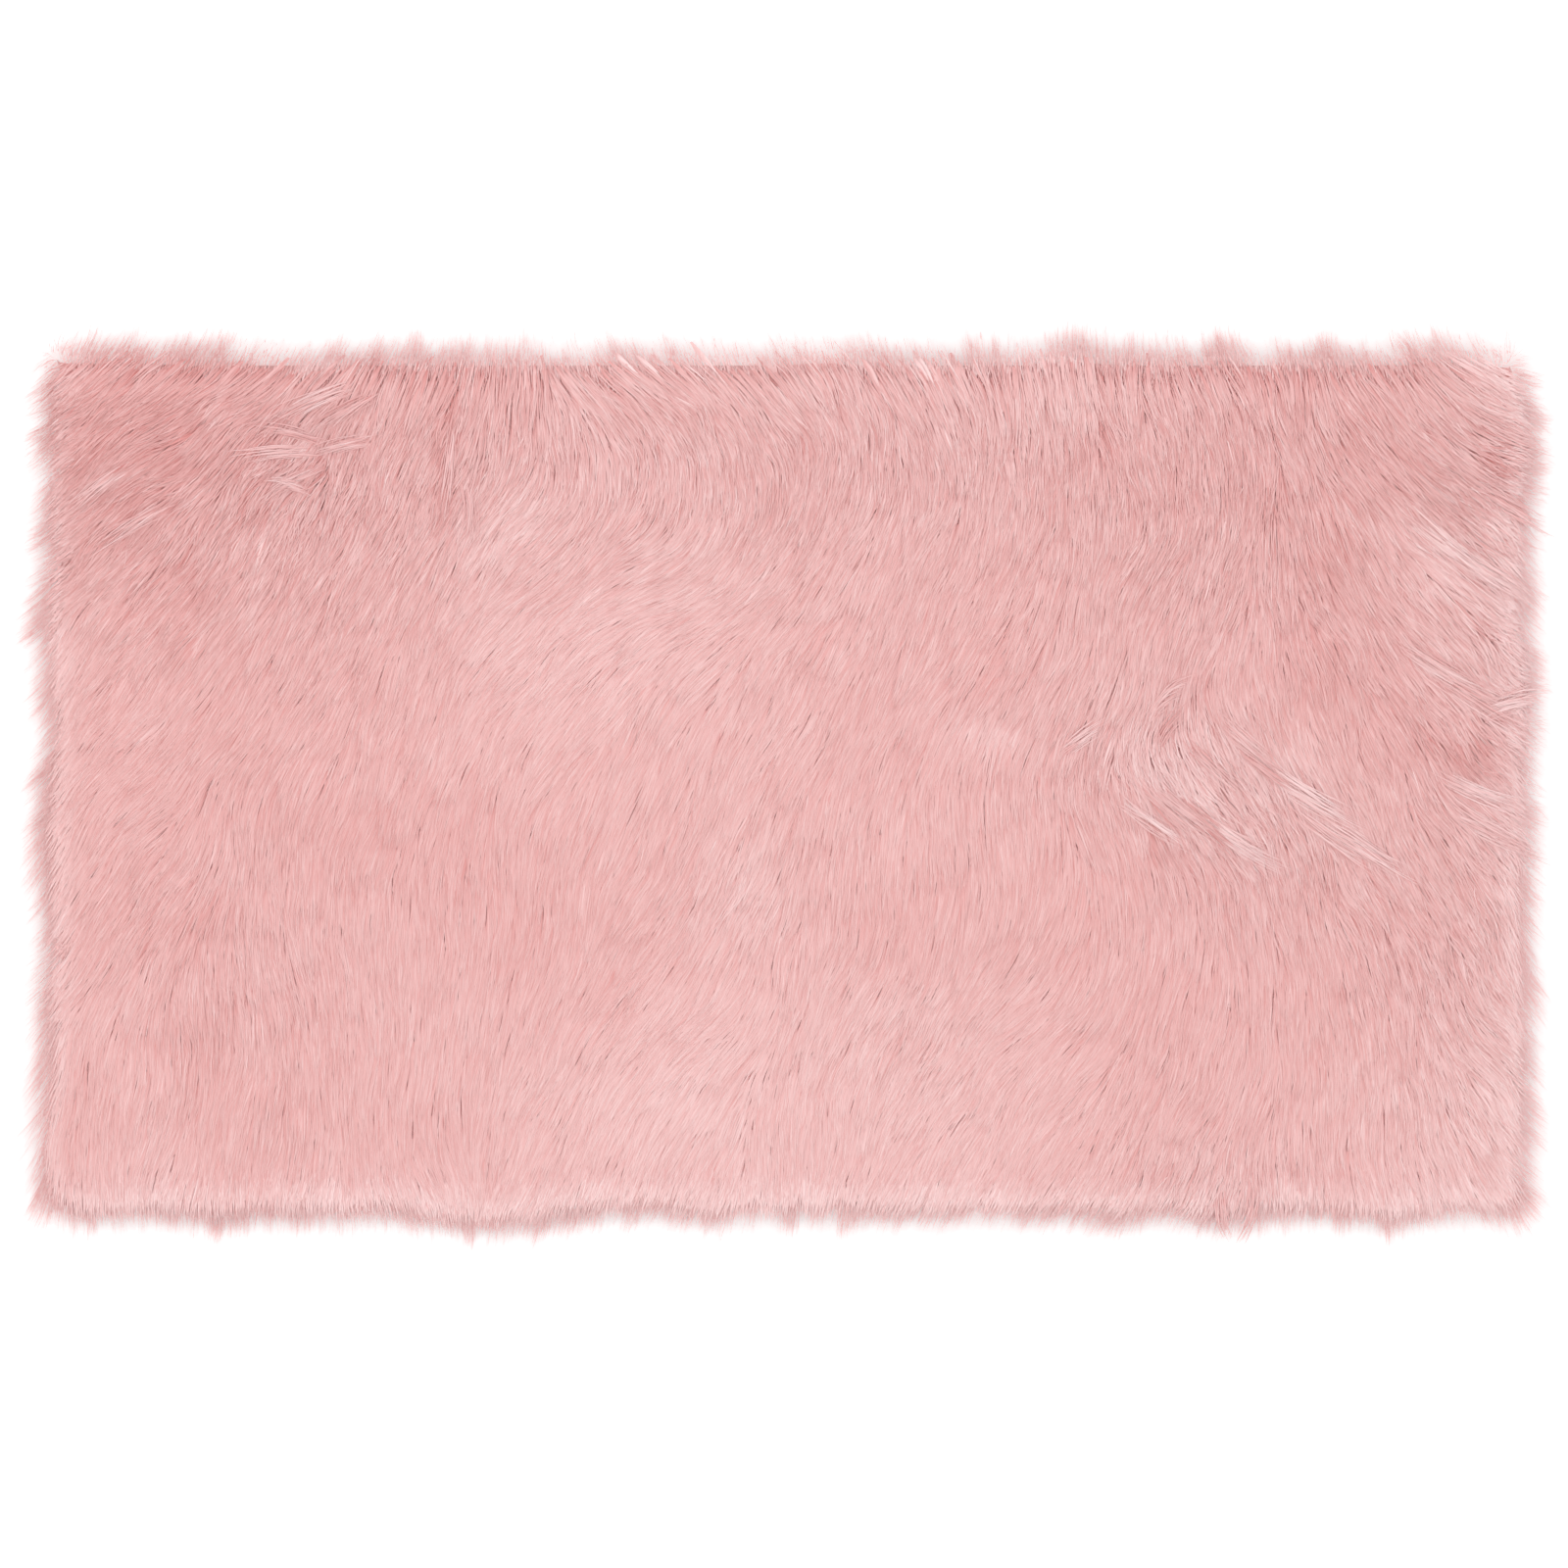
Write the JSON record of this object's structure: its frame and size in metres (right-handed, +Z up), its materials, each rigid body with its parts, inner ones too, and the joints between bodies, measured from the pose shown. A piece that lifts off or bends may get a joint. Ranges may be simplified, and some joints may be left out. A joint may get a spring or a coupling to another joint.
{
  "type": "faux sheepskin rug",
  "caption": "Flat rectangular long-pile faux sheepskin rug in pale pink, with a ragged fur rim and a brushed, tufted top.",
  "frame": {"origin": "middle of the rug on its flat underside", "axes": "+X along the rug, +Y across it towards the far long side, +Z up out of the pile"},
  "size_m": [1.5188, 0.9102, 0.0329],
  "materials": {
    "pink_fur": "long soft matt pile, brushed flat"
  },
  "bodies": {
    "root": {"fur_rug": "pink_fur"}
  },
  "joints": []
}
